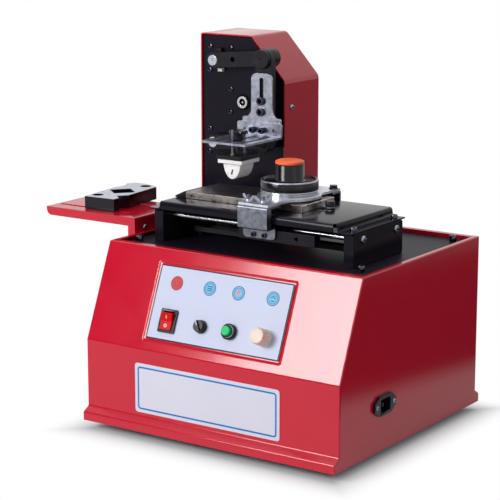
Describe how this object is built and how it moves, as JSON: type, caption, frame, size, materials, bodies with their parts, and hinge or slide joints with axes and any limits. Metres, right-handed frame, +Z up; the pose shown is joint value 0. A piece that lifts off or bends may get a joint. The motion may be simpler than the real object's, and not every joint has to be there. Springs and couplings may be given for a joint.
{
  "type": "pad printing machine",
  "caption": "Desktop pad printing machine: red sloping case, ink cup sliding over a steel plate, swinging silicone pad on a tower and a slotted side shelf.",
  "frame": {"origin": "centre of the whole machine's footprint, at the height of the bench under its feet", "axes": "+X to the operator's right, -Y towards the operator and the sloping control panel, +Z up"},
  "size_m": [0.5346, 0.3618, 0.4879],
  "materials": {
    "red_paint": "glossy red powder coat on sheet steel",
    "black_paint": "glossy black powder coat on sheet steel",
    "black_oxide": "blackened machined steel, satin",
    "zinc": "bright zinc-plated sheet steel",
    "ground_steel": "ground and polished steel",
    "plate_steel": "lapped tool steel with a brownish-grey tone",
    "rubber": "black rubber, dull",
    "silicone": "soft off-white silicone, satin",
    "panel_label": "pale lavender-grey printed aluminium panel",
    "black_plastic": "black moulded plastic",
    "red_plastic": "translucent red moulded plastic",
    "green_plastic": "green moulded plastic",
    "cream_plastic": "cream moulded plastic",
    "orange_plastic": "orange moulded plastic",
    "circuit_board": "green solder mask with dark chips",
    "belt_rubber": "black toothed-belt rubber"
  },
  "bodies": {
    "machine_frame": {"front_panel": "red_paint", "back_panel": "red_paint", "side_panel_left": "red_paint", "side_panel_right": "red_paint", "top_plate": "black_paint", "base_plate": "black_paint", "foot_front_left": "rubber", "foot_front_right": "rubber", "foot_back_left": "rubber", "foot_back_right": "rubber", "control_panel": "panel_label", "rocker_bezel": "black_plastic", "button_bezel": "black_plastic", "power_inlet": "black_plastic", "carriage_motor": "black_oxide", "power_supply": "zinc", "control_board": "circuit_board", "table_bracket_left": "black_paint", "table_bracket_right": "black_paint", "guide_rod_front": "ground_steel", "guide_rod_back": "ground_steel", "print_table": "black_paint", "printing_plate": "plate_steel", "plate_clamp": "black_oxide", "carriage_belt": "belt_rubber", "tower_plate": "black_paint", "tower_cover": "red_paint", "swing_motor": "zinc", "swing_belt": "belt_rubber", "work_shelf": "red_paint", "jig_block": "black_plastic"},
    "power_rocker": {"rocker_button": "red_plastic"},
    "mode_selector": {"selector_knob": "black_plastic"},
    "start_button": {"push_button": "green_plastic"},
    "speed_dial": {"speed_knob": "cream_plastic"},
    "upper_swing_arm": {"upper_arm": "black_oxide", "upper_shaft": "ground_steel"},
    "lower_swing_arm": {"lower_arm": "black_oxide", "lower_shaft": "ground_steel"},
    "pad_head": {"pivot_pin": "black_oxide", "pad_carrier": "black_oxide", "stem_bracket": "zinc", "angle_plate": "zinc", "pad_holder": "black_oxide", "print_pad": "silicone"},
    "head_knob": {"pad_knob": "black_plastic"},
    "swing_motor_pulley": {"motor_pulley": "ground_steel"},
    "cup_carriage": {"carriage": "black_oxide", "front_clamp": "zinc", "rear_clamp": "zinc", "cup_yoke": "zinc", "cup_ring": "ground_steel", "cup_body": "black_plastic", "cup_cap": "orange_plastic"},
    "left_wing_nut": {"wing_nut_left": "zinc"},
    "right_wing_nut": {"wing_nut_right": "zinc"},
    "belt_drive_pulley": {"drive_pulley": "black_oxide"},
    "belt_idler_pulley": {"idler_pulley": "black_oxide"}
  },
  "joints": [
    {"name": "power_rocker_tilt", "type": "hinge", "parent": "machine_frame", "child": "power_rocker", "pos_m": [0.00335, -0.15566, 0.15438], "axis": [1, 0, 0], "range_deg": [-20, 0]},
    {"name": "mode_selector_turn", "type": "hinge", "parent": "machine_frame", "child": "mode_selector", "pos_m": [0.05375, -0.15538, 0.15427], "axis": [0, -0.9237, 0.3831], "range_deg": [-60, 0]},
    {"name": "start_button_press", "type": "slide", "parent": "machine_frame", "child": "start_button", "axis": [0, 0.9237, -0.3831], "range_m": [0, 0.003], "stiffness_N_per_m": 300, "springref_m": -0.002},
    {"name": "speed_dial_turn", "type": "hinge", "parent": "machine_frame", "child": "speed_dial", "pos_m": [0.14725, -0.15538, 0.15427], "axis": [0, -0.9237, 0.3831], "range_deg": [-150, 150]},
    {"name": "upper_arm_swing", "type": "hinge", "parent": "machine_frame", "child": "upper_swing_arm", "pos_m": [-0.08525, 0.06915, 0.4534], "axis": [0, -1, 0], "range_deg": [-11, 195.2]},
    {"name": "lower_arm_swing", "type": "hinge", "parent": "machine_frame", "child": "lower_swing_arm", "pos_m": [-0.08525, 0.06915, 0.3434], "axis": [0, -1, 0], "range_deg": [-11, 195.2]},
    {"name": "pad_head_level", "type": "hinge", "parent": "upper_swing_arm", "child": "pad_head", "pos_m": [0.0038, 0.05765, 0.46135], "axis": [0, -1, 0], "range_deg": [-195.2, 11]},
    {"name": "swing_motor_pulley_turn", "type": "hinge", "parent": "machine_frame", "child": "swing_motor_pulley", "pos_m": [-0.04625, 0.1243, 0.3984], "axis": [0, -1, 0], "range_deg": [-11, 195.2]},
    {"name": "head_knob_turn", "type": "hinge", "parent": "pad_head", "child": "head_knob", "pos_m": [0.00475, -0.0045, 0.369], "axis": [0, 0, 1], "continuous": true},
    {"name": "cup_carriage_slide", "type": "slide", "parent": "machine_frame", "child": "cup_carriage", "axis": [1, 0, 0], "range_m": [-0.1002, 0.006]},
    {"name": "belt_drive_pulley_turn", "type": "hinge", "parent": "machine_frame", "child": "belt_drive_pulley", "pos_m": [0.19175, -0.008, 0.242], "axis": [0, 0, 1], "range_deg": [-660, 40]},
    {"name": "belt_idler_pulley_turn", "type": "hinge", "parent": "machine_frame", "child": "belt_idler_pulley", "pos_m": [-0.05425, -0.008, 0.242], "axis": [0, 0, 1], "range_deg": [-660, 40]},
    {"name": "left_wing_nut_turn", "type": "hinge", "parent": "cup_carriage", "child": "left_wing_nut", "pos_m": [0.07475, -0.084, 0.304], "axis": [0, 0, 1], "continuous": true},
    {"name": "right_wing_nut_turn", "type": "hinge", "parent": "cup_carriage", "child": "right_wing_nut", "pos_m": [0.09675, -0.084, 0.304], "axis": [0, 0, 1], "continuous": true}
  ],
  "couplings": [
    {"joint": "lower_arm_swing", "follows": "upper_arm_swing", "ratio": 1},
    {"joint": "pad_head_level", "follows": "upper_arm_swing", "ratio": -1},
    {"joint": "swing_motor_pulley_turn", "follows": "upper_arm_swing", "ratio": 1},
    {"joint": "cup_carriage_slide", "follows": "upper_arm_swing", "m_per_rad": -0.029352},
    {"joint": "belt_drive_pulley_turn", "follows": "upper_arm_swing", "ratio": -3.3738},
    {"joint": "belt_idler_pulley_turn", "follows": "upper_arm_swing", "ratio": -3.3738}
  ]
}
